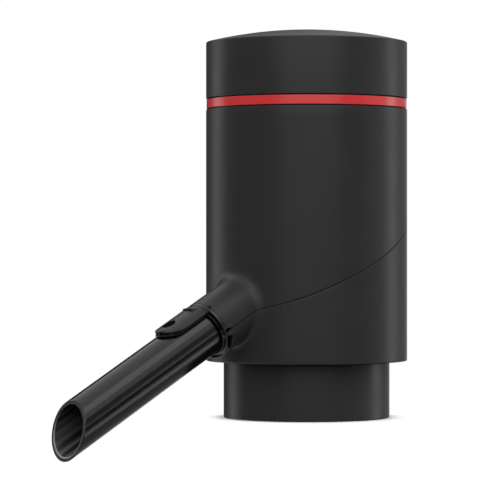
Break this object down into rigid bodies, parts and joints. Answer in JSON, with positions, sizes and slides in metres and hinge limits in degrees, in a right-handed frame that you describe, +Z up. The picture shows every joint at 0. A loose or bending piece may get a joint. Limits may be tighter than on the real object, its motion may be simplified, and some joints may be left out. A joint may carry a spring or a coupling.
{
  "type": "wine dispenser",
  "caption": "Battery air-pump wine dispenser that sits on a bottle's neck and pours through a sloping spout at the press of a button.",
  "frame": {"origin": "on the head's axis, in the plane of the collar's foot", "axes": "+Z up along the head's axis, -Y the way that the spout points, +X to the spout's right as seen from behind the head"},
  "size_m": [0.056, 0.1172, 0.1153],
  "materials": {
    "soft_touch_black": "soft-touch matt",
    "gloss_red": "gloss",
    "smoked_acrylic": "polished, see-through smoke",
    "moulded_black": "satin",
    "silicone_grey": "matt",
    "moulded_natural": "satin",
    "plated_steel": "zinc plated",
    "motor_can": "plated",
    "cell_wrap": "printed film without words",
    "board_laminate": "solder-mask green",
    "lead_insulation": "matt"
  },
  "bodies": {
    "housing": {"bottle_collar": "soft_touch_black", "neck_gasket": "silicone_grey", "bottle_stopper": "silicone_grey", "lower_shell": "soft_touch_black", "upper_shell": "soft_touch_black", "accent_ring": "gloss_red", "battery_cage": "moulded_natural", "battery_cell_1": "cell_wrap", "battery_cell_2": "cell_wrap", "battery_cell_3": "cell_wrap", "battery_cell_4": "cell_wrap", "cell_contact_1": "plated_steel", "cell_contact_2": "plated_steel", "cell_contact_3": "plated_steel", "cell_contact_4": "plated_steel", "cell_spring_1": "plated_steel", "cell_spring_2": "plated_steel", "cell_spring_3": "plated_steel", "cell_spring_4": "plated_steel", "collar_screw_1": "plated_steel", "collar_screw_2": "plated_steel", "collar_screw_3": "plated_steel", "collar_screw_4": "plated_steel", "cage_screw_1": "plated_steel", "cage_screw_2": "plated_steel", "cage_screw_3": "plated_steel", "cage_screw_4": "plated_steel", "manifold_screw_1": "plated_steel", "manifold_screw_2": "plated_steel", "outlet_manifold": "moulded_black", "nozzle_seal": "silicone_grey", "socket_ring": "moulded_black", "pump_head": "moulded_black", "pump_diaphragm": "silicone_grey", "pump_crank_case": "moulded_natural", "pump_motor": "motor_can", "air_hose": "silicone_grey", "motor_lead_1": "lead_insulation", "motor_lead_2": "lead_insulation", "control_board": "board_laminate", "button_switch": "moulded_black"},
    "lid": {"battery_cap": "soft_touch_black", "lid_contact_board": "board_laminate", "lid_contact_1": "plated_steel", "lid_contact_2": "plated_steel", "button_spring": "plated_steel"},
    "button": {"push_button": "soft_touch_black"},
    "spout": {"spout_tube": "smoked_acrylic"},
    "tab": {"release_tab": "moulded_black"},
    "rotor": {"motor_shaft": "plated_steel", "eccentric_cam": "moulded_natural"}
  },
  "joints": [
    {"name": "lid_lift", "type": "slide", "parent": "housing", "child": "lid", "axis": [0, 0, 1], "range_m": [0, 0.025]},
    {"name": "button_press", "type": "slide", "parent": "lid", "child": "button", "axis": [0, 0, -1], "range_m": [0, 0.0008], "stiffness_N_per_m": 800, "springref_m": -0.0005, "deforming": ["button_spring"]},
    {"name": "spout_pull", "type": "slide", "parent": "housing", "child": "spout", "axis": [0, -0.8926, -0.4509], "range_m": [0, 0.03]},
    {"name": "tab_lift", "type": "hinge", "parent": "housing", "child": "tab", "pos_m": [0, -0.04292, 0.03032], "axis": [-1, 0, 0], "range_deg": [0, 8], "stiffness_Nm_per_rad": 0.02, "springref_deg": -2.86},
    {"name": "motor_spin", "type": "hinge", "parent": "housing", "child": "rotor", "pos_m": [0, 0, 0.0636], "axis": [0, 0, 1], "continuous": true}
  ]
}
